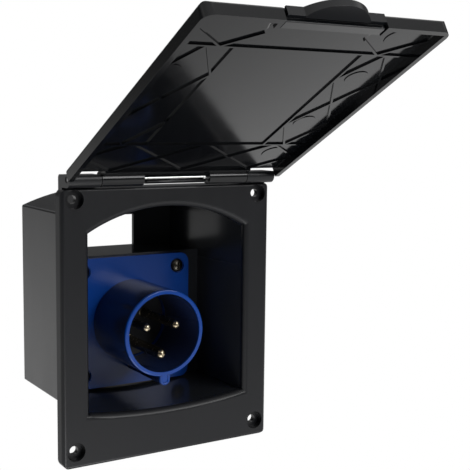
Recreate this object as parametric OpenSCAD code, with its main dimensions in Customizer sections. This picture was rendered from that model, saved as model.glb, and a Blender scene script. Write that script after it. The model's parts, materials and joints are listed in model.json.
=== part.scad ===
// Flush mains inlet for a caravan wall: a moulded housing with a hinged lid, and a
// three-pin inlet on a panel inside the recess.
// Millimetres. X runs across the flange, Y goes into the wall, Z is up. The origin is on the
// wall face behind the flange, in the middle of the four fixing holes.

/* [Flange] */
// Width of the flange and of the lid
flange_w = 125; // [118:1:140]
// Flange below the lower fixing holes
edge_below = 9; // [7:0.5:12]
// Flange above the upper fixing holes
edge_above = 6.3; // [5.7:0.1:8]
// Thickness of the flange
flange_t = 7; // [5:0.5:10]
// Radius of the flange's front edge
flange_edge = 2.2; // [1:0.1:3]
// Radius of the flange's lower corners
flange_corner = 5; // [3:0.5:8]
// Distance of the fixing holes from the flange's sides
hole_side = 7.5; // [6.5:0.5:9]
// Fixing holes, centre to centre upright
hole_dz = 131; // [126:1:140]
// Fixing hole diameter
hole_d = 4.6; // [4:0.1:5.5]
// Diameter of the sunk seat for a screw head
head_d = 10; // [8:0.5:11]
// Depth of the sunk seat for a screw head
head_depth = 3.6; // [2:0.1:4]

/* [Recess] */
// Inside width of the recess
recess_w = 94; // [90:1:96]
// Wall thickness of the box
wall = 2.5; // [2:0.1:3]
// Depth of the box behind the wall face
box_back = 84; // [82:1:95]
// Radius of the box's outside corners
box_corner = 1.2; // [0.6:0.1:4]
// Flange above the mouth's arch
bar_above = 11.4; // [10:0.2:14]
// Rise of the mouth's arch
mouth_rise = 12.7; // [8:0.1:14]
// Radius of the mouth's front edge
mouth_round = 3.2; // [2:0.1:3.6]
// Height of the arched ceiling above the mouth
ceiling_step = 2.5; // [1:0.1:4]
// Rise of the arched ceiling
ceiling_rise = 10; // [6:0.5:12]
// Gap between the inlet's plate and the lowest line of the floor
floor_gap = 2.3; // [2:0.1:4]
// Sag of the floor between the side walls
floor_sag = 3.15; // [1:0.05:3.4]
// Width of the window in the back wall
window_w = 43; // [30:1:60]
// Height of the window above the shelf
window_h = 19; // [12:0.5:20]

/* [Inlet] */
// Height of the inlet's middle
inlet_z = -9.9; // [-10.2:0.1:-9]
// Front of the inlet's panel behind the wall face
panel_y = 46; // [44:0.5:50]
// Thickness of the panel and of the shelf
panel_t = 3; // [2.5:0.1:4]
// Side of the square plate
plate_w = 75; // [70:0.5:82]
// Thickness of the square plate
plate_t = 4.5; // [4:0.1:6]
// Corner radius of the square plate
plate_corner = 5.5; // [4:0.1:8]
// Distance of the plate's screws from its edges
plate_edge = 7.5; // [6.5:0.5:9]
// Reach of the shroud in front of the plate
shroud_l = 41; // [36:0.5:43]
// Outside diameter of the shroud
shroud_d = 48; // [46:0.5:50]
// Wall of the shroud
shroud_wall = 2.3; // [2:0.1:2.8]
// Width of the key rib under the shroud
key_w = 6.2; // [5:0.1:8]
// Distance of the key rib's outer end from the shroud's middle
key_reach = 29; // [27.5:0.1:31]
// Circle through the three pins
pin_circle = 20.8; // [19:0.1:22]
// Line and neutral pin diameter
line_pin_d = 5; // [4.5:0.1:5.5]
// Earth pin diameter
earth_pin_d = 6; // [5.5:0.1:6.5]
// Depth of the pin tips inside the shroud's rim
pin_sunk = 2.5; // [2:0.1:8]
// Distance of the pins' circle under the shroud's middle
pin_drop = 2; // [0:0.1:2.5]
// Gasket thickness behind the plate
gasket_t = 1; // [0.5:0.1:2]

/* [Lid] */
// Angle of the lid from shut
lid_open = 118; // [0:1:165]
// Depth of the lid over its rim
lid_t = 6.5; // [6:0.1:7]
// Thickness of the lid's face
lid_face = 2.2; // [1.8:0.1:2.5]
// Thickness of the lid's side walls
lid_wall = 2.8; // [2:0.1:3.2]
// Radius of the lid's outer edges
lid_edge = 1.6; // [0.5:0.1:2]
// Corner radius of the lid's free end
lid_corner = 5; // [3:0.5:6]
// Reach of the lid past the flange's lower edge
lid_over = 3.1; // [1:0.1:4]
// Gap between the shut lid and the flange
lid_gap = 0.3; // [0.2:0.05:0.6]
// Thickness of a rib
rib_t = 1; // [0.8:0.1:1.6]
// Height of a rib
rib_h = 0.8; // [0.6:0.1:2.2]
// Half width of the rectangle of ribs
rib_half = 33.5; // [31:0.5:36]
// Rib rectangle's edge near the hinge, from the hinge axis
rib_near = 37.6; // [34:0.2:42]
// Rib rectangle's edge near the free end, from the hinge axis
rib_far = 126.8; // [122:0.2:130]
// Spacing of the cross ribs along the free end and the hinge
cross_pitch = 41; // [36:1:46]

/* [Hinge] */
// Hinge pin diameter
hinge_pin_d = 3; // [2.5:0.1:4]
// Outside radius of a knuckle
knuckle_r = 4.1; // [3.8:0.1:4.4]
// Half length of the open channel that shows the pin between the lid's knuckles
pin_bare = 19.5; // [15:0.5:24]
// Where the flange's knuckles begin, from the middle
knuckle_split = 43.4; // [40:0.2:48]
// Gap between neighbouring knuckles
knuckle_gap = 0.4; // [0.3:0.05:0.8]
// Gap between the lid's knuckles and its edge by the hinge
hinge_gap = 1.2; // [0.5:0.1:1.6]
// Radius of the open channel round the pin
channel_r = 2.3; // [2.2:0.1:2.8]
// Height of the flange's hinge blocks over the hinge axis
block_rise = 2.4; // [2.2:0.1:3]
// Distance of the hinge blocks from the flange's sides
block_side = 1.6; // [0:0.1:2.5]
// Depth of the lid's notches over the hinge blocks
notch = 2.2; // [1:0.1:3]

/* [Catch] */
// Width of the catch
catch_w = 50; // [44:1:52]
// Width of the half-moon finger pull
pull_w = 33; // [28:1:40]
// Reach of the finger pull past the catch's strip
pull_reach = 7.5; // [5:0.1:9]
// Thickness of the finger pull
pull_t = 4.6; // [4:0.1:5]
// Gap between the catch's ends and its seat in the lid
catch_gap = 0.8; // [0.3:0.1:1.2]
// Diameter of the catch's pivot pegs
peg_d = 2.4; // [2:0.1:2.6]

/* [Rear cover and gland] */
// Thickness of the rear cover
cover_t = 2.5; // [2:0.1:3]
// Distance of the cover screws from the recess's side walls
cover_side = 6; // [5:0.5:7]
// Distance of the upper cover screws under the shelf
cover_drop = 13.4; // [12:0.2:16]
// Height of the lower cover screws above the floor's lowest line
cover_lift = 17.7; // [16:0.1:20]
// Height of the cable gland above the floor's lowest line
gland_lift = 19.7; // [17:0.1:23]
// Thread diameter of the cable gland
gland_d = 16; // [15:0.5:17]
// Cable hole through the gland's seal
cable_d = 9; // [7:0.5:10]

/* [Hidden] */
$fn = 64;
wide_fn = 360;
slip = 0.06;
free = 0.3;
cut = 1;
sink = 0.2;

front_y = -flange_t;
hole_dx = flange_w - 2*hole_side;
flange_high = hole_dz/2 + edge_above;
flange_low = hole_dz/2 + edge_below;
mouth_top = flange_high - bar_above;
ceiling_top = mouth_top + ceiling_step;
floor_low = plate_w/2 - inlet_z + floor_gap;
recess_half = recess_w/2;
block_back_round = 2;

shelf_gap = 0.8;
shelf_top = inlet_z + plate_w/2 + shelf_gap;
shelf_low = shelf_top - panel_t;
panel_back = panel_y + panel_t;
plate_y = panel_y - gasket_t - plate_t;
plate_hole = plate_w - 2*plate_edge;
plate_hole_r = 2.2;
plate_seat_r = 4.5;
plate_seat_depth = 1;
gasket_inset = 0.5;
rim_y = plate_y - shroud_l;
rim_round = 0.8;
shroud_r = shroud_d/2;
bore_r = shroud_r - shroud_wall;
collar_wall = 2;
collar_l = 9;
collar_clear = 0.6;
collar_r = shroud_r + collar_wall;
collar_back = panel_back + collar_l;
collar_hole_r = collar_r + collar_clear;

hinge_lift = 0.15;
hinge_z = flange_high + knuckle_r;
lid_in = lid_t/2 + hinge_lift;
lid_out = lid_t - lid_in;
hinge_y = front_y - lid_gap - lid_in;
lid_near = knuckle_r + hinge_gap;
lid_far = hinge_z + flange_low + lid_over;
lid_floor = lid_face - lid_out;
pin_r = hinge_pin_d/2;
pin_end_gap = 0.5;
arm_w = 0.5;
channel_wall = 0.8;
hinge_strip = 2.8;

catch_half = catch_w/2;
cheek_x = catch_half + catch_gap;
cheek_t = 2.5;
cheek_l = 3.4;
cheek_skin = 0.6;
peg_r = peg_d/2;
peg_inset = 4;
peg_v = lid_far - peg_inset;
peg_w = 1.4;
peg_boss = 1;
catch_lift = 0.9;
catch_top = lid_floor + catch_lift;
catch_bevel = 0.4;
catch_back = peg_v - peg_r - peg_boss;
catch_rim = lid_in - 2*sink;
catch_sunk = 1.5;
catch_front = lid_far - catch_sunk;
seat_back = 1.2;
strip_gap = 0.5;
strip_lean = 0.5;
strip_t = 1.5;
strip_back = lid_far - seat_back + strip_gap;
strip_front = strip_back + strip_t;
strip_low = sink - lid_out;
strip_neck = 1.2;
strip_high = catch_top + strip_neck;
dish_r = 24;
dish_depth = 1.4;

cover_y = box_back - cover_t;
cover_dx = recess_w - 2*cover_side;
cover_high = shelf_low - cover_drop;
cover_low = cover_lift - floor_low;
gland_z = gland_lift - floor_low;
pilot_r = 1.5;
post_r = 3.6;
post_bore_l = 14;
cover_head_r = 3;
cover_head_t = 2;
cover_grip = 10;
cover_hole_clear = 0.2;
gland_r = gland_d/2;
gland_nut_wall = 4;
gland_nut_r = gland_r + gland_nut_wall;
gland_hex_wall = 3.2;
gland_cap_wall = 2.6;
gland_cap_facet = 0.8;
gland_cap_round = 5;
gland_cap_gap = 0.5;
gland_bore_wide = 1;
gland_body_l = 7;
gland_cap_l = 15;
gland_thread_l = 7;
gland_seal_l = 4;
gland_nut_t = 4.5;
gland_tail = 2;
gland_top = box_back + gland_body_l + gland_thread_l;

carrier_sunk = 2.5;
carrier_front = plate_y + carrier_sunk;
carrier_clear = 0.15;
carrier_flange_t = 3;
carrier_back = collar_back + carrier_flange_t;
carrier_screw_x = (bore_r + collar_r)/2;
carrier_thread_r = 0.95;
carrier_pilot_r = 1;
carrier_hole_r = 1.2;
carrier_head_r = 1.9;
carrier_head_t = 1.3;
carrier_grip = 7;
carrier_pilot_l = 9;
shank_step = 0.3;
terminal_r = 4;
terminal_l = 12;
terminal_floor = 2;
wire_r = 1.9;
clamp_share = 0.6;
terminal_screw_r = 1.5;
terminal_screw_in = 1.2;
terminal_screw_out = 1.6;
slot_w = 0.6;
slot_depth = 0.8;

screw_shank_r = 2;
screw_head_r = 3.9;
screw_head_t = 2.4;
screw_tail = 1;
nut_r = 4;
nut_t = 3.2;
dome_share = 1.3;
cross_reach = 0.55;
cross_half = 0.11;
cross_depth = 0.6;

pin_angles = [150, 30, 270];

function arc_radius(half, rise) = (half*half + rise*rise)/(2*rise);

// Extrudes an outline drawn in X and Z from one depth to another.
module along_y(from, to) {
    translate([0, to, 0])
        rotate([90, 0, 0])
            linear_extrude(to - from)
                children();
}

// Turned solid on an axis along Y, from a profile of radius and depth.
module turned_y() {
    rotate([-90, 0, 0])
        rotate_extrude()
            children();
}

module rod_y(r, from, to) {
    along_y(from, to) circle(r);
}

module rod_x(r, from, to) {
    translate([from, 0, 0])
        rotate([0, 90, 0])
            cylinder(r = r, h = to - from);
}

module both_sides() {
    children();
    mirror([1, 0, 0]) children();
}

module plate_corners() {
    for (x = [-1, 1], z = [-1, 1])
        translate([x*plate_hole/2, 0, inlet_z + z*plate_hole/2])
            children();
}

module cover_corners() {
    for (x = [-1, 1], z = [cover_low, cover_high])
        translate([x*cover_dx/2, 0, z])
            children();
}

module fixing_corners() {
    for (x = [-1, 1], z = [-1, 1])
        translate([x*hole_dx/2, 0, z*hole_dz/2])
            children();
}

module round_rect(w, h, r) {
    square([w - 2*r, h], center = true);
    square([w, h - 2*r], center = true);
    for (x = [-1, 1], y = [-1, 1])
        translate([x*(w/2 - r), y*(h/2 - r)])
            circle(r);
}

// Upright strip between two side walls, closed above and below by shallow arcs.
module arched_strip(half, top, rise, low, sag) {
    top_r = arc_radius(half, rise);
    low_r = arc_radius(half, sag);
    intersection() {
        translate([-half, -low - cut]) square([2*half, low + top + 2*cut]);
        translate([0, top - top_r]) circle(top_r, $fn = wide_fn);
        translate([0, low_r - low]) circle(low_r, $fn = wide_fn);
    }
}

// Cuts the corner between a side wall and a closing arc, ready for a round one.
module corner_notch(half, centre, arc_r, r, up) {
    reach = sqrt(pow(arc_r - r, 2) - pow(half - r, 2));
    middle = [half - r, centre + up*reach];
    on_arc = [0, centre] + (arc_r + cut)/(arc_r - r)*(middle - [0, centre]);
    difference() {
        polygon([middle, [half + cut, middle[1]], [half + cut, on_arc[1] + up*r], on_arc]);
        translate(middle) circle(r);
    }
}

module box_outline(half, top, rise, low, sag, r) {
    top_r = arc_radius(half, rise);
    low_r = arc_radius(half, sag);
    difference() {
        arched_strip(half, top, rise, low, sag);
        for (side = [0, 1]) mirror([side, 0]) {
            corner_notch(half, top - top_r, top_r, r, 1);
            corner_notch(half, low_r - low, low_r, r, -1);
        }
    }
}

// Inside of the box, drawn in by a clearance.
module inner_outline(inset) {
    arched_strip(recess_half - inset, ceiling_top - inset, ceiling_rise,
                 floor_low - inset, floor_sag);
}

// Opening through the flange, its front edge rounded all the way round.
module mouth() {
    top_r = arc_radius(recess_half, mouth_rise);
    low_r = arc_radius(recess_half, floor_sag);
    height = floor_low + mouth_top + 4*mouth_round;
    intersection() {
        translate([0, 0, -floor_low - 2*mouth_round])
            linear_extrude(height)
                both_sides() mouth_profile(recess_half);
        translate([0, 0, mouth_top - top_r])
            rotate([-90, 0, 0]) rotate_extrude($fn = wide_fn) mouth_profile(top_r);
        translate([0, 0, low_r - floor_low])
            rotate([-90, 0, 0]) rotate_extrude($fn = wide_fn) mouth_profile(low_r);
    }
}

// Half section of the mouth: a straight wall that flares to the flange's face.
module mouth_profile(reach) {
    difference() {
        translate([0, front_y - cut]) square([reach + 2*mouth_round, flange_t + 2*cut]);
        translate([reach, front_y + mouth_round])
            square([3*mouth_round, flange_t + 2*cut]);
        translate([reach + mouth_round, front_y + mouth_round]) circle(mouth_round);
        translate([reach + mouth_round, front_y])
            square([2*mouth_round, flange_t + 2*cut]);
    }
}

module flange_plate() {
    middle = (flange_high - flange_low)/2;
    height = flange_high + flange_low;
    intersection() {
        along_y(front_y, 0)
            translate([0, middle]) round_rect(flange_w, height, flange_corner);
        translate([0, 0, -flange_low - cut])
            linear_extrude(height + 2*cut)
                edge_profile(flange_w, flange_t, flange_edge);
        translate([-flange_w, 0, middle])
            rotate([0, 90, 0]) linear_extrude(2*flange_w)
                edge_profile(height, flange_t, flange_edge);
    }
}

// Section of a plate whose front edges are round.
module edge_profile(w, t, r) {
    translate([-w/2, r - t]) square([w, t - r]);
    translate([r - w/2, -t]) square([w - 2*r, t]);
    for (x = [-1, 1])
        translate([x*(w/2 - r), r - t]) circle(r);
}

// Section of a hinge block: round in front, flat on top and round at the back.
module block_outline() {
    rise = knuckle_r + block_rise;
    intersection() {
        translate([hinge_y, hinge_z]) circle(knuckle_r);
        translate([hinge_y - knuckle_r, flange_high]) square([2*knuckle_r, rise]);
    }
    translate([hinge_y, flange_high]) square([-hinge_y - block_back_round, rise]);
    translate([-block_back_round, flange_high])
        square([block_back_round, rise - block_back_round]);
    translate([-block_back_round, flange_high + rise - block_back_round])
        circle(block_back_round);
    translate([front_y + flange_edge, flange_high - flange_corner])
        square([flange_t - flange_edge, flange_corner + knuckle_r]);
}

module hinge_block() {
    rotate([90, 0, 90])
        translate([0, 0, knuckle_split])
            linear_extrude(flange_w/2 - block_side - knuckle_split) block_outline();
}

module housing_shell() {
    difference() {
        union() {
            flange_plate();
            along_y(-flange_t/2, box_back)
                box_outline(recess_half + wall, ceiling_top + wall, ceiling_rise,
                            floor_low + wall, floor_sag, box_corner);
            both_sides() hinge_block();
        }
        mouth();
        along_y(0, panel_y) inner_outline(0);
        along_y(panel_y - cut, box_back - wall)
            intersection() {
                inner_outline(0);
                translate([-recess_w, shelf_top]) square([2*recess_w, recess_w]);
            }
        along_y(panel_back, box_back + cut)
            intersection() {
                inner_outline(0);
                translate([-recess_w, shelf_low - 2*recess_w]) square(2*recess_w);
            }
        along_y(box_back - 2*wall, box_back + cut)
            translate([-window_w/2, shelf_top]) square([window_w, window_h]);
        translate([0, 0, inlet_z]) rod_y(collar_hole_r, panel_y - cut, panel_back + cut);
        plate_corners() rod_y(plate_hole_r, panel_y - cut, panel_back + cut);
        fixing_corners() {
            rod_y(hole_d/2, front_y - cut, cut);
            rod_y(head_d/2, front_y - cut, front_y + head_depth);
        }
        translate([0, hinge_y, hinge_z])
            rod_x(pin_r + slip/3, -flange_w, flange_w);
    }
}

module housing() {
    color("#2b2d2f") {
        difference() {
            union() {
                housing_shell();
                cover_corners() rod_y(post_r, panel_back - cut, cover_y);
            }
            cover_corners() rod_y(pilot_r, cover_y - post_bore_l, cover_y + cut);
        }
    }
}

// Places what is drawn on the lid: X across, Y from the hinge axis to the free end and Z
// towards the flange.
module on_lid() {
    translate([0, hinge_y, hinge_z])
        rotate([270 - lid_open, 0, 0])
            children();
}

// Inside of the lid, which has side walls and an end wall but none by the hinge.
module lid_cavity_outline() {
    translate([-flange_w/2 + lid_wall, lid_near - cut])
        square([flange_w - 2*lid_wall, lid_far - lid_near - lid_wall + cut]);
}

module bar(a, b) {
    translate(a)
        rotate(atan2(b[1] - a[1], b[0] - a[0]))
            translate([0, -rib_t/2])
                square([norm(b - a), rib_t]);
}

// Lattice of one side of the lid: crossing ribs between the rectangle and the side wall.
module side_lattice() {
    edge = flange_w/2 - lid_wall;
    pitch = (rib_far - rib_near)/2;
    intersection() {
        translate([rib_half, rib_near]) square([edge - rib_half, rib_far - rib_near]);
        for (k = [0, 1], way = [-1, 1]) {
            v = rib_near + (k + 0.5)*pitch;
            bar([rib_half, v], [edge, v + way*pitch]);
            bar([edge, v], [rib_half, v + way*pitch]);
        }
    }
}

// Lattice by the hinge: crossing ribs between the rectangle and a strip along the hinge.
module hinge_lattice() {
    drop = rib_near - lid_near - hinge_strip;
    for (k = [-2:2], way = [-1, 1])
        bar([k*cross_pitch, rib_near], [(k + way)*cross_pitch, rib_near - drop]);
}

// Lattice by the free end: ribs that fan out to the side walls and the catch's cheeks.
module end_lattice() {
    rise = lid_far - lid_wall - rib_far;
    run = cross_pitch*rise/(rib_near - lid_near - hinge_strip);
    intersection() {
        translate([cheek_x, rib_far]) square([flange_w, rise]);
        for (way = [-1, 1])
            bar([cross_pitch, rib_far], [cross_pitch + way*run, rib_far + rise]);
    }
}

module lid_ribs() {
    intersection() {
        lid_cavity_outline();
        union() {
            for (v = [rib_near, rib_far])
                bar([-flange_w, v], [flange_w, v]);
            for (side = [0, 1]) mirror([side, 0]) {
                bar([rib_half, rib_near], [rib_half, rib_far]);
                side_lattice();
                end_lattice();
            }
            hinge_lattice();
        }
    }
}

// Lid's outline: square by the hinge, round corners at the free end.
module lid_outline() {
    length = lid_far - lid_near;
    translate([0, lid_near + length/2]) round_rect(flange_w, length, lid_corner);
    translate([-flange_w/2, lid_near]) square([flange_w, length/2]);
}

module lid_shell() {
    length = lid_far - lid_near;
    difference() {
        intersection() {
            translate([0, 0, -lid_out]) linear_extrude(lid_t) lid_outline();
            translate([0, lid_near - cut, lid_in])
                rotate([90, 0, 180]) linear_extrude(length + 2*cut)
                    edge_profile(flange_w, lid_t, lid_edge);
            translate([-flange_w, lid_near + length/2, lid_in])
                rotate([90, 0, 90]) linear_extrude(2*flange_w)
                    edge_profile(length, lid_t, lid_edge);
        }
        translate([0, 0, lid_floor]) linear_extrude(lid_t) lid_cavity_outline();
    }
}

// Barrel round the hinge axis and the arm that joins it to the lid's edge.
module lid_barrel(r, from, to) {
    rod_x(r, from, to);
    translate([from, 0, -lid_out])
        cube([to - from, lid_near + hinge_strip, lid_out + arm_w]);
}

// Half barrel between the lid's knuckles: an open channel that shows the pin.
module lid_channel() {
    half = pin_bare + sink;
    difference() {
        lid_barrel(channel_r + channel_wall, -half, half);
        rod_x(channel_r, -flange_w, flange_w);
        translate([-flange_w, -flange_w, arm_w]) cube(2*flange_w);
    }
}

module lid() {
    socket = cheek_x + cheek_t - cheek_skin;
    barrel_end = knuckle_split - knuckle_gap;
    color("#202224") on_lid() difference() {
        union() {
            lid_shell();
            translate([0, 0, lid_floor - sink])
                linear_extrude(rib_h + sink) lid_ribs();
            lid_channel();
            both_sides() {
                lid_barrel(knuckle_r, pin_bare, barrel_end);
                translate([cheek_x, lid_far - lid_wall - cheek_l, lid_floor - sink])
                    cube([cheek_t, cheek_l + lid_wall/2, lid_in - lid_floor + sink]);
            }
        }
        translate([-cheek_x, lid_far - lid_wall - cut, lid_floor])
            cube([2*cheek_x, lid_wall + 2*cut, lid_t]);
        translate([-cheek_x, lid_far - seat_back, -lid_t]) cube([2*cheek_x, lid_wall, 2*lid_t]);
        both_sides()
            translate([barrel_end, lid_near - cut, -lid_t])
                cube([flange_w/2 - lid_wall - barrel_end, notch + cut, 2*lid_t]);
        rod_x(pin_r + slip, -flange_w, flange_w);
        translate([0, peg_v, peg_w]) rod_x(peg_r + slip, -socket, socket);
    }
}

module hinge_pin() {
    half = flange_w/2 - block_side - pin_end_gap;
    color("#c9ccd0")
        translate([0, hinge_y, hinge_z]) rod_x(pin_r, -half, half);
}

// Section of the catch's bar: a body in the lid's end wall with a strip over the lid's end.
module catch_bar() {
    polygon([[catch_back, catch_top + catch_bevel], [catch_back + catch_bevel, catch_top],
             [strip_back, catch_top], [strip_back + strip_lean, strip_low],
             [strip_front, strip_low], [strip_front, strip_high],
             [catch_front, strip_high], [catch_front, catch_rim - catch_bevel],
             [catch_front - catch_bevel, catch_rim], [catch_back, catch_rim]]);
}

module pull_outline() {
    half = pull_w/2;
    r = arc_radius(half, pull_reach);
    intersection() {
        translate([0, strip_front + pull_reach - r]) circle(r);
        translate([-half, strip_front - strip_t/2]) square([pull_w, 2*pull_reach]);
    }
}

// Half-moon finger pull, dished on the side towards the flange.
module finger_pull() {
    difference() {
        translate([0, 0, strip_low]) linear_extrude(pull_t) pull_outline();
        translate([0, strip_front + pull_reach, strip_low + pull_t - dish_depth + dish_r])
            rod_x(dish_r, -pull_w, pull_w);
    }
}

module lid_catch() {
    peg_end = cheek_x + cheek_t - peg_boss;
    color("#1b1d21") on_lid() {
        rotate([90, 0, 90])
            translate([0, 0, -catch_half])
                linear_extrude(catch_w) catch_bar();
        finger_pull();
        both_sides()
            translate([0, peg_v, peg_w]) rod_x(peg_r, catch_half - cut, peg_end);
    }
}

module key_outline(half, reach) {
    translate([-half, half - reach]) square([2*half, reach - half]);
    translate([0, half - reach]) circle(half);
}

module inlet_shell() {
    color("#12317a") translate([0, 0, inlet_z]) difference() {
        union() {
            along_y(plate_y, plate_y + plate_t) round_rect(plate_w, plate_w, plate_corner);
            turned_y() {
                translate([0, rim_y + rim_round]) square([shroud_r, shroud_l]);
                translate([0, rim_y]) square([shroud_r - rim_round, shroud_l]);
                translate([shroud_r - rim_round, rim_y + rim_round]) circle(rim_round);
                translate([0, plate_y]) square([collar_r, collar_back - plate_y]);
            }
            along_y(rim_y, plate_y + cut) key_outline(key_w/2, key_reach);
        }
        rod_y(bore_r, rim_y - cut, collar_back + cut);
        for (x = [-1, 1], z = [-1, 1]) translate([x*plate_hole/2, 0, z*plate_hole/2]) {
            rod_y(plate_hole_r, plate_y - cut, plate_y + plate_t + cut);
            rod_y(plate_seat_r, plate_y - cut, plate_y + plate_seat_depth);
        }
        for (side = [-1, 1])
            translate([side*carrier_screw_x, 0, 0])
                rod_y(carrier_pilot_r, collar_back - carrier_pilot_l, collar_back + cut);
    }
}

module inlet_gasket() {
    side = plate_w - 2*gasket_inset;
    color("#1a1a1a") along_y(panel_y - gasket_t, panel_y)
        translate([0, inlet_z]) difference() {
            round_rect(side, side, plate_corner);
            circle(collar_hole_r);
            for (x = [-1, 1], z = [-1, 1])
                translate([x*plate_hole/2, z*plate_hole/2]) circle(plate_hole_r);
        }
}

// Pan-head screw along Y with a cross recess, its head's seat at depth 0.
module pan_screw(shank_r, head_r, head_t, length) {
    difference() {
        union() {
            rod_y(shank_r, -cut/2, length);
            intersection() {
                rod_y(head_r, -head_t, 0);
                translate([0, head_r*dome_share - head_t, 0]) sphere(head_r*dome_share);
            }
        }
        for (turn = [0, 90])
            rotate([0, turn, 0])
                translate([-head_r*cross_reach, -head_t - cut, -head_r*cross_half])
                    cube([2*head_r*cross_reach, cut + head_t*cross_depth, 2*head_r*cross_half]);
    }
}

module inlet_screws() {
    color("#a8aaa6") plate_corners()
        translate([0, plate_y + plate_seat_depth, 0])
            pan_screw(screw_shank_r, screw_head_r, screw_head_t,
                      panel_back + nut_t + screw_tail - plate_y - plate_seat_depth);
}

module inlet_nuts() {
    color("#b4b6b2") plate_corners()
        along_y(panel_back, panel_back + nut_t) difference() {
            circle(nut_r, $fn = 6);
            circle(screw_shank_r + slip/2);
        }
}

// Moves to a pin's axis, with X pointing away from the middle of the pins' circle.
module at_pin(angle) {
    translate([0, 0, -pin_drop])
        rotate([0, -angle, 0])
            translate([pin_circle/2, 0, 0])
                children();
}

// Radius of a pin's shank in the carrier.
function shank_r(d) = d/2 + shank_step;

module contact_carrier() {
    diameters = [line_pin_d, line_pin_d, earth_pin_d];
    color("#15181f") translate([0, 0, inlet_z]) difference() {
        turned_y() {
            translate([0, carrier_front])
                square([bore_r - carrier_clear, carrier_back - carrier_front]);
            translate([0, collar_back]) square([collar_r - free, carrier_flange_t]);
        }
        for (k = [0:2])
            at_pin(pin_angles[k])
                rod_y(shank_r(diameters[k]) + slip/3, carrier_front - cut, carrier_back + cut);
        for (side = [-1, 1])
            translate([side*carrier_screw_x, 0, 0])
                rod_y(carrier_hole_r, collar_back - cut, carrier_back + cut);
    }
}

module carrier_screws() {
    color("#b4b6b2")
        for (side = [-1, 1])
            translate([side*carrier_screw_x, carrier_back, inlet_z])
                mirror([0, 1, 0])
                    pan_screw(carrier_thread_r, carrier_head_r, carrier_head_t,
                              carrier_flange_t + carrier_grip);
}

// Contact pin with a round tip and a thicker shank, and a bored terminal behind with the hole
// of its clamp screw.
module contact_pin(d, angle) {
    tip = rim_y + pin_sunk;
    r = d/2;
    color("#c8b078") translate([0, 0, inlet_z]) at_pin(angle)
        difference() {
            turned_y() {
                translate([0, tip + r]) square([r, carrier_front - tip - r]);
                intersection() {
                    translate([0, tip + r]) circle(r);
                    translate([0, tip]) square([r, r + sink]);
                }
                translate([0, carrier_front]) square([shank_r(d), carrier_back - carrier_front]);
                translate([0, carrier_back]) square([terminal_r, terminal_l]);
            }
            rod_y(wire_r, carrier_back + terminal_floor, carrier_back + terminal_l + cut);
            translate([0, carrier_back + terminal_l*clamp_share, 0])
                rod_x(terminal_screw_r + slip/2, 0, 2*terminal_r);
        }
}

module line_pin() {
    contact_pin(line_pin_d, pin_angles[0]);
}

module neutral_pin() {
    contact_pin(line_pin_d, pin_angles[1]);
}

module earth_pin() {
    contact_pin(earth_pin_d, pin_angles[2]);
}

module terminal_screws() {
    color("#b4b6b2")
        for (angle = pin_angles)
            translate([0, carrier_back + terminal_l*clamp_share, inlet_z])
                at_pin(angle) difference() {
                    rod_x(terminal_screw_r, terminal_screw_in, terminal_r + terminal_screw_out);
                    translate([terminal_r + terminal_screw_out - slot_depth, -slot_w/2,
                               -2*terminal_screw_r])
                        cube([slot_depth + cut, slot_w, 4*terminal_screw_r]);
                }
}

module rear_cover() {
    color("#303234") along_y(cover_y, box_back) difference() {
        intersection() {
            inner_outline(free);
            translate([-recess_w, shelf_low - free - 2*recess_w]) square(2*recess_w);
        }
        for (x = [-1, 1], z = [cover_low, cover_high])
            translate([x*cover_dx/2, z]) circle(pilot_r + cover_hole_clear);
        translate([0, gland_z]) circle(gland_r + cover_hole_clear);
    }
}

module cover_screws() {
    color("#a8aaa6") cover_corners()
        translate([0, box_back, 0])
            mirror([0, 1, 0])
                pan_screw(pilot_r - slip/2, cover_head_r, cover_head_t, cover_t + cover_grip);
}

module gland_body() {
    tail = cover_y - gland_nut_t - gland_tail;
    color("#26282a") translate([0, 0, gland_z]) difference() {
        union() {
            rod_y(gland_r, tail, gland_top);
            along_y(box_back, box_back + gland_body_l) circle(gland_r + gland_hex_wall, $fn = 6);
        }
        rod_y(cable_d/2 + gland_bore_wide, tail - cut, gland_top + cut);
    }
}

module gland_lock_nut() {
    color("#26282a") along_y(cover_y - gland_nut_t, cover_y)
        translate([0, gland_z]) difference() {
            circle(gland_nut_r, $fn = 6);
            circle(gland_r + slip/2);
        }
}

module gland_seal() {
    color("#101010") translate([0, 0, gland_z]) difference() {
        rod_y(gland_r - free, gland_top, gland_top + gland_seal_l);
        rod_y(cable_d/2, gland_top - cut, gland_top + gland_seal_l + cut);
    }
}

module gland_cap() {
    from = box_back + gland_body_l + gland_cap_gap;
    cap_r = gland_r + gland_cap_wall;
    straight = gland_cap_l - gland_cap_round;
    color("#26282a") translate([0, 0, gland_z]) difference() {
        intersection() {
            along_y(from, from + gland_cap_l) circle(cap_r + gland_cap_facet, $fn = 12);
            turned_y() {
                translate([0, from]) square([cap_r + gland_cap_facet + cut, straight]);
                translate([0, from]) square([cap_r - gland_cap_wall, gland_cap_l]);
                translate([cap_r - gland_cap_wall, from + straight]) circle(gland_cap_round);
            }
        }
        rod_y(gland_r + slip/2, from - cut, gland_top + gland_seal_l);
        rod_y(cable_d/2 + collar_clear, from, from + gland_cap_l + cut);
    }
}

housing();
lid();
hinge_pin();
lid_catch();
inlet_shell();
inlet_gasket();
inlet_screws();
inlet_nuts();
contact_carrier();
carrier_screws();
line_pin();
neutral_pin();
earth_pin();
terminal_screws();
rear_cover();
cover_screws();
gland_body();
gland_lock_nut();
gland_seal();
gland_cap();
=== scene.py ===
import json
import math

import bmesh
import bpy
from mathutils import Matrix, Vector


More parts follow.
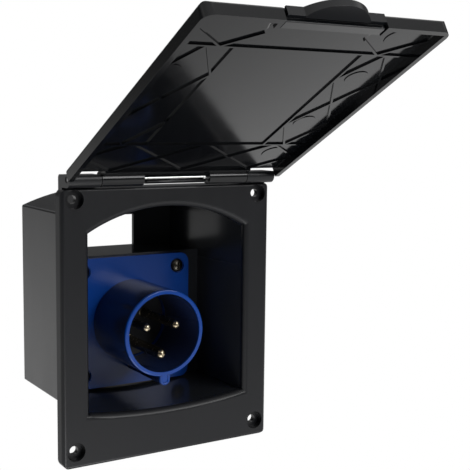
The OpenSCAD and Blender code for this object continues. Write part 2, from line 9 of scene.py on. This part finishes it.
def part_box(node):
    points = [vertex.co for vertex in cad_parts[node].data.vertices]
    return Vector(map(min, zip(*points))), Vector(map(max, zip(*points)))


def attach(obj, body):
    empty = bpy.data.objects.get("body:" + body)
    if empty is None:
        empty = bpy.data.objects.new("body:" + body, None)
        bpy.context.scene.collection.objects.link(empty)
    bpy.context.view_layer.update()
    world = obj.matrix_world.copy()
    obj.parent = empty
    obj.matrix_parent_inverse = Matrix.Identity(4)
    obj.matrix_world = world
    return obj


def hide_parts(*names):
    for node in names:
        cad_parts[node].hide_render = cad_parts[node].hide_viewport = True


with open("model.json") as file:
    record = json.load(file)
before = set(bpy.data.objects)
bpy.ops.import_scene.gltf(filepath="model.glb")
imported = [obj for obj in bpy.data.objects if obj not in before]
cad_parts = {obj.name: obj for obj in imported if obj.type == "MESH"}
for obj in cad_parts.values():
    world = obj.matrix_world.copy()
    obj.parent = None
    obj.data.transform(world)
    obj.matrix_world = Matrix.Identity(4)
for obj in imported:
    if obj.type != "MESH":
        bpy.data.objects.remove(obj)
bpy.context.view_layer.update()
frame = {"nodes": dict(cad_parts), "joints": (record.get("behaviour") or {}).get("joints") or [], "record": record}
nodes = frame["nodes"]
mm = 0.001
print("frame: loaded", len(nodes), "nodes")


# Node trees and shader maths

class Flow:
    # one socket of a tree, so that sums of sockets read as sums

    def __init__(self, finish, socket):
        self.finish = finish
        self.socket = socket

    def maths(self, operation, first, second):
        return self.finish.add("ShaderNodeMath", {"operation": operation}, {0: first, 1: second})

    def __add__(self, other):
        return self.maths("ADD", self, other)

    def __radd__(self, other):
        return self.maths("ADD", other, self)

    def __sub__(self, other):
        return self.maths("SUBTRACT", self, other)

    def __rsub__(self, other):
        return self.maths("SUBTRACT", other, self)

    def __mul__(self, other):
        return self.maths("MULTIPLY", self, other)

    def __rmul__(self, other):
        return self.maths("MULTIPLY", other, self)

    def __abs__(self):
        return self.maths("ABSOLUTE", self, 0.0)

    def fade(self, low, high):
        # 0 at low and 1 at high, with a soft step between
        return self.finish.add("ShaderNodeMapRange", {"interpolation_type": "SMOOTHSTEP"},
                               {0: self, 1: low, 2: high, 3: 0.0, 4: 1.0})

    def past(self, limits):
        # the same between two places in mm
        return self.fade(limits[0] * mm, limits[1] * mm)


class Finish:
    # one tree, built node by node: a new material's, unless another tree is given

    def __init__(self, name=None, tree=None):
        if tree is None:
            self.material = bpy.data.materials.new(name)
            self.material.use_nodes = True
            tree = self.material.node_tree
        self.tree = tree
        self.tree.nodes.clear()

    def add(self, kind, settings=None, values=None, out=0):
        # settings go on the node itself, values and links on its sockets
        node = self.tree.nodes.new(kind)
        for key, value in (settings or {}).items():
            setattr(node, key, value)
        for key, value in (values or {}).items():
            if isinstance(value, Flow):
                self.tree.links.new(value.socket, node.inputs[key])
            else:
                node.inputs[key].default_value = value
        return Flow(self, node.outputs[out]) if len(node.outputs) else None

    def place(self):
        return self.add("ShaderNodeTexCoord", out="Object")

    def turned(self):
        # which way the surface faces, in the piece's own axes
        return self.add("ShaderNodeTexCoord", out="Normal")

    def axes(self, vector):
        parts = self.add("ShaderNodeSeparateXYZ", None, {"Vector": vector}).socket.node
        return [Flow(self, socket) for socket in parts.outputs]

    def along(self, vector, direction):
        return self.add("ShaderNodeVectorMath", {"operation": "DOT_PRODUCT"},
                        {0: vector, 1: direction}, out="Value")

    def stretched(self, place, scale):
        return self.add("ShaderNodeMapping", {"vector_type": "POINT"}, {"Vector": place, "Scale": scale})

    def noise(self, place, scale, detail, rough):
        return self.add("ShaderNodeTexNoise", None,
                        {"Vector": place, "Scale": scale, "Detail": detail, "Roughness": rough})

    def mix(self, share, first, second):
        # sockets 6, 7 and 2 are the ones for colours
        return self.add("ShaderNodeMix", {"data_type": "RGBA"}, {0: share, 6: first, 7: second}, out=2)

    def clouded(self, place, look):
        return self.mix(self.noise(place, *look["cloud"]), look["dark"], look["light"])

    def smeared(self, place, look):
        # how the roughness of a touched surface differs from place to place; noise is 0.5 on the whole
        return (self.noise(place, *look["smear"]) - 0.5) * look["smearRough"]

    def bump(self, height, distance):
        return self.add("ShaderNodeBump", None, {"Strength": 1.0, "Distance": distance, "Height": height})

    def surface(self, values):
        shader = self.add("ShaderNodeBsdfPrincipled", None, values)
        self.add("ShaderNodeOutputMaterial", None, {"Surface": shader})
        return self.material


def shade(red, green, blue):
    # a screen colour of 0 to 255 as a linear one
    def linear(part):
        part /= 255
        return part / 12.92 if part <= 0.04045 else ((part + 0.055) / 1.055) ** 2.4
    return (linear(red), linear(green), linear(blue), 1.0)


# Camera, as fitted to the photograph's frame

cameraView = {
    "place": (-247.15, -462.71, 106.95),   # mm
    "yaw": 32.247,                         # degrees to the right of the wall's normal
    "pitch": 6.798,                        # degrees down
    "roll": 0.664,
    "focal": 976.1,                        # pixels, in a frame of 470 by 470
    "frame": 470,
    "sensor": 36.0,
    "clipStart": 0.01,                     # metres
}


def makeCamera(view):
    yaw, pitch, roll = (math.radians(view[key]) for key in ("yaw", "pitch", "roll"))
    ahead = Vector((math.sin(yaw) * math.cos(pitch), math.cos(yaw) * math.cos(pitch), -math.sin(pitch)))
    level = Vector((math.cos(yaw), -math.sin(yaw), 0))
    above = level.cross(ahead)
    right = math.cos(roll) * level + math.sin(roll) * above
    upward = math.cos(roll) * above - math.sin(roll) * level
    data = bpy.data.cameras.new("photoCamera")
    data.sensor_width = view["sensor"]
    data.lens = view["focal"] / view["frame"] * view["sensor"]
    data.clip_start = view["clipStart"]
    camera = bpy.data.objects.new("photoCamera", data)
    bpy.context.scene.collection.objects.link(camera)
    turn = Matrix((right, upward, -ahead)).transposed().to_4x4()
    camera.matrix_world = Matrix.Translation(Vector(view["place"]) * mm) @ turn
    bpy.context.scene.camera = camera


makeCamera(cameraView)
bpy.context.scene.view_settings.view_transform = "Standard"
print("camera: placed")


# Studio: white background and pale floor, a dim room round them and three soft lamps

studio = {
    "ambient": 0.4,
    "ambientFront": 0.45,                  # share of it that comes from the front
    "behind": (-0.3, 0.3),                 # where the front ends and the back begins
    "roomShare": 0.09,                     # the room's light in reflections, against the floor's
    "roomBack": (-0.23, 0.07),             # rise of a reflected ray where the room begins, behind
    "roomFront": (-0.36, -0.1),            # and in front
    "ceilingBack": (0.36, 0.56),           # rise where the bright ceiling begins, behind
    "ceilingFront": (0.35, 0.85),          # and in front
    "ceilingShare": (0.9, 0.62),           # the ceiling's light behind and in front
    "floorLevel": -0.35,                   # metres
    "floorSize": 3.0,
    "floorShade": (0.7, 0.7, 0.7, 1),
    "floorFade": (0.35, 0.68),             # metres from the origin, where the floor turns white
    "white": (1, 1, 1, 1),
    "lamps": {                             # place, aim, size in metres and watts
        "tableLamp": ((-0.05, -0.3, -0.33), (-0.05, -0.3, 0.0), 0.3, 1.1),
        "keyLamp": ((0.6, -1.3, 0.75), (0.0, 0.0, 0.03), 0.9, 15.0),
        "topLamp": ((0.1, 0.4, 1.7), (0.0, 0.0, 0.03), 1.0, 10.0),
    },
}


def seenRays(finish):
    # rays that should meet the white background: from the camera, mirrored or through glass
    camera, glossy, passing = (finish.add("ShaderNodeLightPath", out=kind)
                               for kind in ("Is Camera Ray", "Is Glossy Ray", "Is Transmission Ray"))
    return finish.add("ShaderNodeMath", {"operation": "ADD", "use_clamp": True},
                      {0: camera + glossy, 1: passing})


def makeBackdrop(settings):
    world = bpy.data.worlds.new("studio")
    bpy.context.scene.world = world
    world.use_nodes = True
    backdrop = Finish(tree=world.node_tree)
    back, up = backdrop.axes(backdrop.place())[1:]   # of a ray's direction
    behind = back.fade(*settings["behind"])
    lit = 1 - (up.fade(*settings["roomBack"]) * behind + up.fade(*settings["roomFront"]) * (1 - behind))
    shareBack, shareFront = settings["ceilingShare"]
    above = up.fade(*settings["ceilingBack"]) * behind * shareBack \
        + up.fade(*settings["ceilingFront"]) * (1 - behind) * shareFront
    mirrored = settings["roomShare"] + lit * (1 - settings["roomShare"]) + above
    soft = settings["ambient"] * (settings["ambientFront"] + behind * (1 - settings["ambientFront"]))
    seen = seenRays(backdrop)
    glossy = backdrop.add("ShaderNodeLightPath", out="Is Glossy Ray")
    strength = soft * (1 - seen) + seen * (1 - glossy) + glossy * mirrored
    sky = backdrop.add("ShaderNodeBackground", None, {"Color": settings["white"], "Strength": strength})
    backdrop.add("ShaderNodeOutputWorld", None, {"Surface": sky})


def makeFloor(settings):
    half = settings["floorSize"] / 2
    level = settings["floorLevel"]
    corners = [(-half, -half, level), (half, -half, level), (half, half, level), (-half, half, level)]
    mesh = bpy.data.meshes.new("studioFloor")
    mesh.from_pydata(corners, [], [(0, 1, 2, 3)])
    floor = bpy.data.objects.new("studioFloor", mesh)
    bpy.context.scene.collection.objects.link(floor)
    paper = Finish("floorPaper")
    distance = paper.add("ShaderNodeVectorMath", {"operation": "LENGTH"}, {0: paper.place()}, out="Value")
    share = distance.fade(*settings["floorFade"]) * seenRays(paper)
    matt = paper.add("ShaderNodeBsdfDiffuse", None, {"Color": settings["floorShade"]})
    white = paper.add("ShaderNodeEmission", None, {"Color": settings["white"], "Strength": 1.0})
    mixed = paper.add("ShaderNodeMixShader", None, {0: share, 1: matt, 2: white})
    paper.add("ShaderNodeOutputMaterial", None, {"Surface": mixed})
    mesh.materials.append(paper.material)


def makeLamps(settings):
    for name, (place, aim, size, watts) in settings["lamps"].items():
        data = bpy.data.lights.new(name, "AREA")
        data.shape = "SQUARE"
        data.size = size
        data.energy = watts
        lamp = bpy.data.objects.new(name, data)
        bpy.context.scene.collection.objects.link(lamp)
        lamp.location = place
        lamp.visible_camera = False
        lamp.rotation_euler = (Vector(aim) - Vector(place)).to_track_quat("-Z", "Y").to_euler()


makeBackdrop(studio)
makeFloor(studio)
makeLamps(studio)
print("studio: backdrop, floor and lamps")


# The lid's own directions, as it stands in the photograph

hinge = next(joint for joint in frame["joints"] if joint["name"] == "lid_hinge")
hingePlace = Vector(hinge["pos_m"])
lidOpen = 118                              # degrees from shut to its place there
lidLean = math.radians(lidOpen - 90)
lidInward = Vector((0, -math.sin(lidLean), -math.cos(lidLean)))   # out of its inner face
lidAlong = Vector((0, lidInward.z, -lidInward.y))                 # from the hinge to its free edge


# Materials: places and depths in mm, noise as scale, detail and roughness

housingLook = {
    "dark": shade(15, 16, 19),
    "light": shade(19, 20, 24),
    "inside": shade(34, 36, 40),           # painted light: the recess's colour lifted above the flange's, in place of the reflected light its shade lacks
    "gloss": 0.35,
    "cloud": (24.0, 3.0, 0.5),
    "grain": (2600.0, 2.0, 0.6),
    "grainDepth": 0.020,
    "grainLost": 0.75,                     # share of the grain that the polished inside lacks
    "smear": (1.0, 4.0, 0.6),
    "smearStretch": (60, 60, 14),
    "smearRough": 0.10,
    "faceRough": 0.33,
    "innerRough": 0.17,                    # inside, behind the mouth
    "innerSide": (47.9, 48.5),
    "innerFront": (-4.6, -2.2),
    "recessBack": (81.8, 83.2),
    "recessLow": (-51.2, -50.4),
    "recessTop": (50.0, 54.0),
    "edgeRough": 0.58,                     # rounded edge above and below the mouth
    "edgeSide": (45.5, 46.5),
    "edgeFront": (-6.9, -6.3),
    "edgeBack": (-4.6, -3.0),
    "rimRough": 0.55,                      # narrow sides of the flange
    "rimSide": (61.9, 62.4),
    "wallRough": 0.42,                     # side walls of the recess, in their lower part
    "wallTop": (18.0, 30.0),
    "wallTurn": (0.9, 0.97),               # how squarely a face looks sideways to be a side wall
    "draft": 0.14,                         # slope at which the side walls' shading draws in
    "draftFrom": -3.4,
}


def housingPlastic(look):
    # satin outside and polished inside the recess, where painted light lifts the colour
    finish = Finish("housingPlastic")
    place = finish.place()
    x, y, z = finish.axes(place)
    inner = (1 - abs(x).past(look["innerSide"])) * y.past(look["innerFront"])
    # painted light: the recess mask, where the base colour is lifted lighter
    recess = inner * (1 - y.past(look["recessBack"])) * z.past(look["recessLow"]) \
        * (1 - z.past(look["recessTop"]))
    edge = (1 - abs(x).past(look["edgeSide"])) * y.past(look["edgeFront"]) * (1 - y.past(look["edgeBack"]))
    rim = abs(x).past(look["rimSide"])
    sideWall = inner * abs(finish.axes(finish.turned())[0]).fade(*look["wallTurn"])
    rough = look["faceRough"] + inner * (look["innerRough"] - look["faceRough"]) \
        + edge * (look["edgeRough"] - look["faceRough"]) \
        + rim * (look["rimRough"] - look["faceRough"]) \
        + sideWall * (1 - z.past(look["wallTop"])) * (look["wallRough"] - look["innerRough"]) \
        + finish.smeared(finish.stretched(place, look["smearStretch"]), look)
    grain = finish.noise(place, *look["grain"]) * (1 - inner * look["grainLost"])
    draft = sideWall * (y - look["draftFrom"] * mm) * look["draft"]
    height = grain * (look["grainDepth"] * mm) + draft
    # painted light: a lighter grey mixed into the recess's colour
    return finish.surface({"Base Color": finish.mix(recess, finish.clouded(place, look), look["inside"]),
                           "Roughness": rough, "Specular IOR Level": look["gloss"],
                           "Normal": finish.bump(height, 1.0)})


lidLook = {
    "dark": shade(12, 13, 15),
    "light": shade(16, 17, 19),
    "gloss": 0.4,
    "cloud": (30.0, 3.0, 0.5),
    "grain": (2600.0, 2.0, 0.6),
    "grainDepth": 0.016,
    "grainLost": 0.9,
    "sinkMarks": (55.0, 2.0, 0.5),
    "sinkDepth": 1.2,                      # against the grain's depth
    "smear": (85.0, 5.0, 0.62),
    "smearRough": 0.09,
    "faceRough": 0.42,
    "innerRough": 0.13,
    "innerDepth": (-2.6, -1.4),            # from the hinge's axis, inwards
}


def lidPlastic(look):
    # satin outside; polished inside, with the slow waves of sink marks
    finish = Finish("lidPlastic")
    place = finish.place()
    inner = (finish.along(place, lidInward) - lidInward.dot(hingePlace)).past(look["innerDepth"])
    rough = look["faceRough"] + inner * (look["innerRough"] - look["faceRough"]) + finish.smeared(place, look)
    height = finish.noise(place, *look["grain"]) * (1 - inner * look["grainLost"]) \
        + finish.noise(place, *look["sinkMarks"]) * inner * look["sinkDepth"]
    return finish.surface({"Base Color": finish.clouded(place, look), "Roughness": rough,
                           "Specular IOR Level": look["gloss"],
                           "Normal": finish.bump(height, look["grainDepth"] * mm)})


catchLook = {
    "dark": shade(9, 10, 13),
    "light": shade(13, 15, 18),
    "gloss": 0.05,
    "cloud": (40.0, 3.0, 0.5),
    "grain": (1800.0, 2.0, 0.6),
    "grainDepth": 0.008,
    "smear": (120.0, 4.0, 0.6),
    "smearRough": 0.10,
    "rough": 0.3,
    "coatRough": 0.09,
    "coatLost": 0.97,                      # share of the polish that the pull's inner face lacks
    "pullTurn": (0.75, 0.92),
    "pullReach": (152.8, 153.4),           # from the hinge's axis, along the lid
}


def catchPlastic(look):
    # polished, but matt on the finger pull's face that turns to the wall when the lid is shut
    finish = Finish("catchPlastic")
    place = finish.place()
    reach = finish.along(place, lidAlong) - lidAlong.dot(hingePlace)
    matt = finish.along(finish.turned(), lidInward).fade(*look["pullTurn"]) * reach.past(look["pullReach"])
    grain = finish.noise(place, *look["grain"])
    return finish.surface({"Base Color": finish.clouded(place, look),
                           "Roughness": look["rough"] + finish.smeared(place, look),
                           "Specular IOR Level": look["gloss"], "Coat Roughness": look["coatRough"],
                           "Coat Weight": 1 - matt * look["coatLost"],
                           "Normal": finish.bump(grain, look["grainDepth"] * mm)})


inletLook = {
    "dark": shade(6, 51, 122),
    "light": shade(9, 65, 150),
    # painted shade with a painted grey reflection: the shroud's wall is the plate's blue, darkened and greyed here
    "paintedShroudShade": shade(32, 37, 55),
    "paintedShroudShadeShare": 0.85,
    "gloss": 0.38,
    "cloud": (40.0, 3.0, 0.5),
    "grain": (1800.0, 2.0, 0.6),
    "grainDepth": 0.010,
    "smear": (120.0, 4.0, 0.6),
    "smearRough": 0.08,
    "shroudRough": 0.16,
    "plateRough": 0.22,
    "rimBack": (0.2, 1.1),
    "plateFront": (39.6, 40.4),
}


def inletPlastic(look):
    # blue plate and rim, and between them the shroud's wall, smoother than the plate, its blue darkened and greyed
    # as painted shade and painted reflection
    finish = Finish("inletPlastic")
    place = finish.place()
    y = finish.axes(place)[1]
    plate = y.past(look["plateFront"])
    wall = y.past(look["rimBack"]) * (1 - plate)
    rough = look["shroudRough"] + plate * (look["plateRough"] - look["shroudRough"]) \
        + finish.smeared(place, look)
    grain = finish.noise(place, *look["grain"])
    # painted shade and painted grey reflection mixed into the shroud's wall, between rim and plate
    base = finish.mix(wall * look["paintedShroudShadeShare"], finish.clouded(place, look), look["paintedShroudShade"])
    return finish.surface({"Base Color": base, "Roughness": rough, "Specular IOR Level": look["gloss"],
                           "Normal": finish.bump(grain, look["grainDepth"] * mm)})


carrierLook = {
    "dark": shade(25, 26, 31),
    "light": shade(33, 34, 39),
    "cloud": (40.0, 3.0, 0.5),
    "grain": (1500.0, 2.0, 0.6),
    "grainDepth": 0.030,
    "smear": (120.0, 4.0, 0.6),
    "smearRough": 0.10,
    "rough": 0.5,
}

glandLook = {
    "dark": shade(16, 17, 18),
    "light": shade(23, 24, 25),
    "cloud": (40.0, 3.0, 0.5),
    "grain": (2200.0, 2.0, 0.6),
    "grainDepth": 0.025,
    "smear": (120.0, 4.0, 0.6),
    "smearRough": 0.10,
    "rough": 0.42,
}


def mouldedPlastic(name, look):
    # one even finish all over
    finish = Finish(name)
    place = finish.place()
    grain = finish.noise(place, *look["grain"])
    return finish.surface({"Base Color": finish.clouded(place, look),
                           "Roughness": look["rough"] + finish.smeared(place, look),
                           "Normal": finish.bump(grain, look["grainDepth"] * mm)})


metalWear = {
    "lines": (1.0, 4.0, 0.65),             # scaled by each metal's own stretch
    "lineRough": 0.12,
    "lineDepth": 0.006,
    "patch": (260.0, 4.0, 0.6),
    "patchFade": (0.3, 0.75),
    "patchRough": 0.22,
}

brassLook = {"dull": shade(128, 116, 96), "bright": shade(180, 169, 146), "rough": 0.24,
             "stretch": (90, 2600, 90)}
steelLook = {"dull": shade(222, 222, 222), "bright": shade(246, 246, 244), "rough": 0.14,
             "stretch": (60, 2400, 2400)}
zincLook = {"dull": shade(62, 59, 52), "bright": shade(108, 105, 98), "rough": 0.34,
            "stretch": (700, 700, 700)}


def metal(name, look, wear):
    # drawn or turned metal: fine lines along or round the piece, and duller patches
    finish = Finish(name)
    place = finish.place()
    lines = finish.noise(finish.stretched(place, look["stretch"]), *wear["lines"])
    patch = finish.noise(place, *wear["patch"])
    rough = look["rough"] + (patch - 0.5) * wear["patchRough"] + (lines - 0.5) * wear["lineRough"]
    base = finish.mix(patch.fade(*wear["patchFade"]), look["dull"], look["bright"])
    return finish.surface({"Base Color": base, "Metallic": 1.0, "Roughness": rough,
                           "Normal": finish.bump(lines, wear["lineDepth"] * mm)})


sealLook = {
    "dark": shade(18, 18, 18),
    "light": shade(34, 34, 33),
    "bloom": (320.0, 4.0, 0.6),
    "bloomRough": 0.2,
    "grain": (1400.0, 3.0, 0.5),
    "grainDepth": 0.015,
    "rough": 0.68,
}


def sealRubber(look):
    # matt, with a pale bloom
    finish = Finish("sealRubber")
    place = finish.place()
    bloom = finish.noise(place, *look["bloom"])
    grain = finish.noise(place, *look["grain"])
    return finish.surface({"Base Color": finish.mix(bloom, look["dark"], look["light"]),
                           "Roughness": look["rough"] + (bloom - 0.5) * look["bloomRough"],
                           "Normal": finish.bump(grain, look["grainDepth"] * mm)})


finishes = {
    "housing_black": housingPlastic(housingLook),
    "lid_black": lidPlastic(lidLook),
    "catch_black": catchPlastic(catchLook),
    "inlet_blue": inletPlastic(inletLook),
    "carrier_black": mouldedPlastic("carrierPlastic", carrierLook),
    "contact_brass": metal("contactBrass", brassLook, metalWear),
    "bright_steel": metal("brightSteel", steelLook, metalWear),
    "zinc_steel": metal("zincSteel", zincLook, metalWear),
    "black_rubber": sealRubber(sealLook),
    "gland_black": mouldedPlastic("glandPlastic", glandLook),
}
print("materials:", len(finishes))


# Pieces made from the CAD nodes, with their edges broken

slotOf = {part["node"]: part["material_slot"] for part in frame["record"]["subparts"]}
bodyOf = {node: body for body, group in frame["record"]["behaviour"]["bodies"].items() for node in group}

dressing = {                               # edge radius in mm and steps round it
    "housing": (0.35, 2), "lid": (0.3, 2), "lid_catch": (0.35, 3), "hinge_pin": (0.3, 2),
    "inlet_shell": (0.3, 2), "contact_carrier": (0.3, 2), "rear_cover": (0.4, 2),
    "line_pin": (0.15, 2), "neutral_pin": (0.15, 2), "earth_pin": (0.15, 2),
    "inlet_gasket": (0.2, 2), "inlet_nuts": (0.25, 2), "gland_body": (0.3, 2), "gland_lock_nut": (0.3, 2),
    "gland_seal": (0.3, 2), "gland_cap": (0.35, 3), "inlet_screws": (0.12, 2), "cover_screws": (0.12, 2),
    "carrier_screws": (0.08, 2), "terminal_screws": (0.1, 2),
}
edgeRule = {
    "merge": 0.002,                        # mm between corners that become one
    "flat": 0.4,                           # degrees under which two faces become one
    "sharp": 34,                           # degrees over which an edge is broken
    "ribs": (-1.0, -0.05),                 # mm from the hinge's axis: the lid's ribs, kept crisp
}


def settle(name, mesh, body):
    # a finished mesh becomes a piece of the object
    piece = bpy.data.objects.new(name, mesh)
    bpy.context.scene.collection.objects.link(piece)
    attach(piece, body)
    return piece


def plainMesh(host):
    # what the host's modifiers make, as a mesh of its own; the host is removed
    bpy.context.view_layer.update()
    mesh = bpy.data.meshes.new_from_object(host.evaluated_get(bpy.context.evaluated_depsgraph_get()))
    bpy.data.objects.remove(host)
    return mesh


def inRibs(place, rule):
    low, high = rule["ribs"]
    return low * mm < (place - hingePlace).dot(lidInward) < high * mm


def mergedCopy(name, rule):
    # the node's mesh with its triangles joined and its sharp edges marked
    mesh = nodes[name].data.copy()
    mesh.name = name + "Dressed"
    shape = bmesh.new()
    shape.from_mesh(mesh)
    bmesh.ops.remove_doubles(shape, verts=shape.verts, dist=rule["merge"] * mm)
    bmesh.ops.dissolve_degenerate(shape, edges=shape.edges, dist=rule["merge"] * mm)
    crisp = {corner for corner in shape.verts if name == "lid" and inRibs(corner.co, rule)}
    bmesh.ops.dissolve_limit(shape, angle_limit=math.radians(rule["flat"]),
                             edges=[edge for edge in shape.edges if not crisp.issuperset(edge.verts)],
                             verts=[corner for corner in shape.verts if corner not in crisp])
    broken = shape.edges.layers.float.new("bevel_weight_edge")
    for edge in shape.edges:
        if len(edge.link_faces) == 2 and edge.calc_face_angle() > math.radians(rule["sharp"]):
            if crisp.issuperset(edge.verts):
                edge.smooth = False
            else:
                edge[broken] = 1.0
    for face in shape.faces:
        face.smooth = True
    shape.to_mesh(mesh)
    shape.free()
    return mesh


def dressNode(name, radius, steps):
    raw = bpy.data.objects.new(name + "Raw", mergedCopy(name, edgeRule))
    bpy.context.scene.collection.objects.link(raw)
    edge = raw.modifiers.new("brokenEdge", "BEVEL")
    edge.width = radius * mm
    edge.segments = steps
    edge.limit_method = "WEIGHT"
    edge.use_clamp_overlap = True
    edge.miter_outer = "MITER_ARC"
    edge.harden_normals = False
    raw.modifiers.new("flatFaces", "WEIGHTED_NORMAL").keep_sharp = True
    mesh = plainMesh(raw)
    mesh.materials.clear()
    mesh.materials.append(finishes[slotOf[name]])
    piece = settle(name + "Piece", mesh, bodyOf[name])
    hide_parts(name)


for nodeName, (edgeRadius, edgeSteps) in dressing.items():
    dressNode(nodeName, edgeRadius, edgeSteps)
print("pieces:", len(dressing), "nodes dressed")


# Lower lip of the channel round the bare part of the hinge pin

channelLip = {
    "half": 17.6,                          # mm either way from the middle
    "inner": 2.3,
    "outer": 3.05,
    "turn": (-24, -150),                   # degrees from +Y round the pin's axis
    "steps": 24,
    "endSteps": 6,                         # round its free edge
}


def makeChannelLip(look):
    low, high = (math.radians(angle) for angle in look["turn"])
    middle = (look["inner"] + look["outer"]) / 2
    thick = (look["outer"] - look["inner"]) / 2
    turns = [low + (high - low) * step / look["steps"] for step in range(look["steps"] + 1)]
    bends = [math.pi * step / look["endSteps"] for step in range(1, look["endSteps"])]
    outline = [(look["outer"], turn) for turn in turns]
    outline += [(middle + thick * math.cos(bend), high - thick / middle * math.sin(bend)) for bend in bends]
    outline += [(look["inner"], turn) for turn in reversed(turns)]
    section = [(reach * math.cos(turn), reach * math.sin(turn)) for reach, turn in outline]
    shape = bmesh.new()
    rows = [[shape.verts.new(hingePlace + Vector((x, y, z)) * mm) for y, z in section]
            for x in (-look["half"], look["half"])]
    for row in rows:
        shape.faces.new(row)
    for place in range(len(section)):
        after = (place + 1) % len(section)
        face = shape.faces.new((rows[0][place], rows[0][after], rows[1][after], rows[1][place]))
        face.smooth = True
    bmesh.ops.recalc_face_normals(shape, faces=shape.faces)
    mesh = bpy.data.meshes.new("channelLip")
    shape.to_mesh(mesh)
    shape.free()
    mesh.materials.append(finishes["lid_black"])
    settle("channelLip", mesh, "cover")


makeChannelLip(channelLip)
print("pieces: channel lip")


# Details grown by rule

def grown(name, inputs, points, build, body, slot):
    # inputs are name: value, and build joins the nodes between the inputs and the finished geometry
    tree = bpy.data.node_groups.new(name, "GeometryNodeTree")
    tree.interface.new_socket("Geometry", in_out="INPUT", socket_type="NodeSocketGeometry")
    tree.interface.new_socket("Geometry", in_out="OUTPUT", socket_type="NodeSocketGeometry")
    keys = {}
    for key, value in inputs.items():
        kind = "NodeSocketInt" if isinstance(value, int) else "NodeSocketFloat"
        keys[key] = tree.interface.new_socket(key, in_out="INPUT", socket_type=kind).identifier
    rule = Finish(tree=tree)
    entry = rule.add("NodeGroupInput").socket.node
    given = {socket.name: Flow(rule, socket) for socket in entry.outputs if socket.name}
    whole = rule.add("GeometryNodeRealizeInstances", None, {"Geometry": build(rule, given)})
    dressed = rule.add("GeometryNodeSetMaterial", None, {"Geometry": whole, "Material": finishes[slot]})
    rule.add("NodeGroupOutput", None, {"Geometry": dressed})
    seeds = bpy.data.meshes.new(name + "Points")
    seeds.from_pydata(points, [], [])
    host = bpy.data.objects.new(name + "Host", seeds)
    bpy.context.scene.collection.objects.link(host)
    growth = host.modifiers.new(name, "NODES")
    growth.node_group = tree
    for key, value in inputs.items():
        growth[keys[key]] = value
    piece = settle(name, plainMesh(host), body)
    print("grown:", name, len(piece.data.polygons), "faces")


ejectorMarks = {
    "places": ((-53.7, 105.0), (-51.4, 141.5), (44.9, 105.9), (43.8, 62.1), (45.7, 27.3), (41.9, 140.4)),
    "floor": -0.9,                         # mm from the hinge's axis to the lid's inner face
    "radius": 5.8,
    "rise": 0.35,
    "sides": 48,
}


def makeEjectorMarks(look):
    # places are mm across the lid and mm from the hinge along it
    points = [hingePlace + (Vector((across, 0, 0)) + lidAlong * reach + lidInward * look["floor"]) * mm
              for across, reach in look["places"]]
    lean = Vector((0, 0, 1)).rotation_difference(lidInward).to_euler()

    def build(rule, given):
        disc = rule.add("GeometryNodeMeshCylinder", None,
                        {"Vertices": given["Sides"], "Radius": given["Radius"], "Depth": given["Rise"] * 2})
        return rule.add("GeometryNodeInstanceOnPoints", None,
                        {"Points": given["Geometry"], "Instance": disc, "Rotation": lean})

    inputs = {"Sides": look["sides"], "Radius": look["radius"] * mm, "Rise": look["rise"] * mm}
    grown("ejectorMarks", inputs, points, build, "cover", "lid_black")


makeEjectorMarks(ejectorMarks)


gripRibs = {
    "count": 24,
    "width": 0.7,                          # mm
    "proud": 0.35,
    "sunk": 0.9,
    "ends": (1.2, 3.6),                    # mm left bare at the cap's front and back
    "capSides": 12,                        # flats round the gland's cap
}


def makeGripRibs(look):
    low, high = (Vector(corner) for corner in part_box("gland_cap"))
    middle = (low + high) / 2
    front = low.y + look["ends"][0] * mm
    back = high.y - look["ends"][1] * mm
    reach = (high.x - low.x) / 2 * math.cos(math.pi / (2 * look["capSides"]))   # between flats and corners

    def build(rule, given):
        ring = rule.add("GeometryNodeMeshCircle", None,
                        {"Vertices": given["Count"], "Radius": given["Radius"]})
        size = rule.add("ShaderNodeCombineXYZ", None,
                        {"X": given["Depth"], "Y": given["Width"], "Z": given["Length"]})
        rib = rule.add("GeometryNodeMeshCube", None, {"Size": size})
        outward = rule.add("FunctionNodeAlignRotationToVector", {"axis": "X"},
                           {"Vector": rule.add("GeometryNodeInputPosition")})
        ribs = rule.add("GeometryNodeInstanceOnPoints", None,
                        {"Points": ring, "Instance": rib, "Rotation": outward})
        return rule.add("GeometryNodeTransform", None,
                        {"Geometry": ribs, "Translation": (middle.x, (front + back) / 2, middle.z),
                         "Rotation": (math.pi / 2, 0, 0)})

    inputs = {
        "Count": look["count"],
        "Radius": reach + (look["proud"] - look["sunk"]) / 2 * mm,
        "Depth": (look["proud"] + look["sunk"]) * mm,
        "Width": look["width"] * mm,
        "Length": back - front,
    }
    grown("gripRibs", inputs, [], build, "base", "gland_black")


makeGripRibs(gripRibs)


# Raised border round the front of the shroud's key rib

keyBorder = {
    "half": 2.25,                          # mm from the rib's middle to the border's line
    "end": -35.8,                          # height of the middle of the rib's round end
    "top": -33.6,
    "front": -0.25,                        # a little behind the rib's front face
    "radius": 0.75,
    "sides": 12,
    "steps": 16,
}


def makeKeyBorder(look):
    bends = [math.pi * (1 + step / look["steps"]) for step in range(look["steps"] + 1)]
    line = [(-look["half"], look["top"])]
    line += [(look["half"] * math.cos(bend), look["end"] + look["half"] * math.sin(bend)) for bend in bends]
    line += [(look["half"], look["top"])]
    points = [Vector((x, look["front"], z)) * mm for x, z in line]

    def build(rule, given):
        dots = rule.add("GeometryNodeMeshToPoints", None, {"Mesh": given["Geometry"]})
        path = rule.add("GeometryNodePointsToCurves", None, {"Points": dots})
        section = rule.add("GeometryNodeCurvePrimitiveCircle", None,
                           {"Resolution": given["Sides"], "Radius": given["Radius"]})
        bead = rule.add("GeometryNodeCurveToMesh", None,
                        {"Curve": path, "Profile Curve": section, "Fill Caps": True})
        return rule.add("GeometryNodeSetShadeSmooth", None, {"Geometry": bead})

    inputs = {"Sides": look["sides"], "Radius": look["radius"] * mm}
    grown("keyBorder", inputs, points, build, "base", "inlet_blue")


makeKeyBorder(keyBorder)
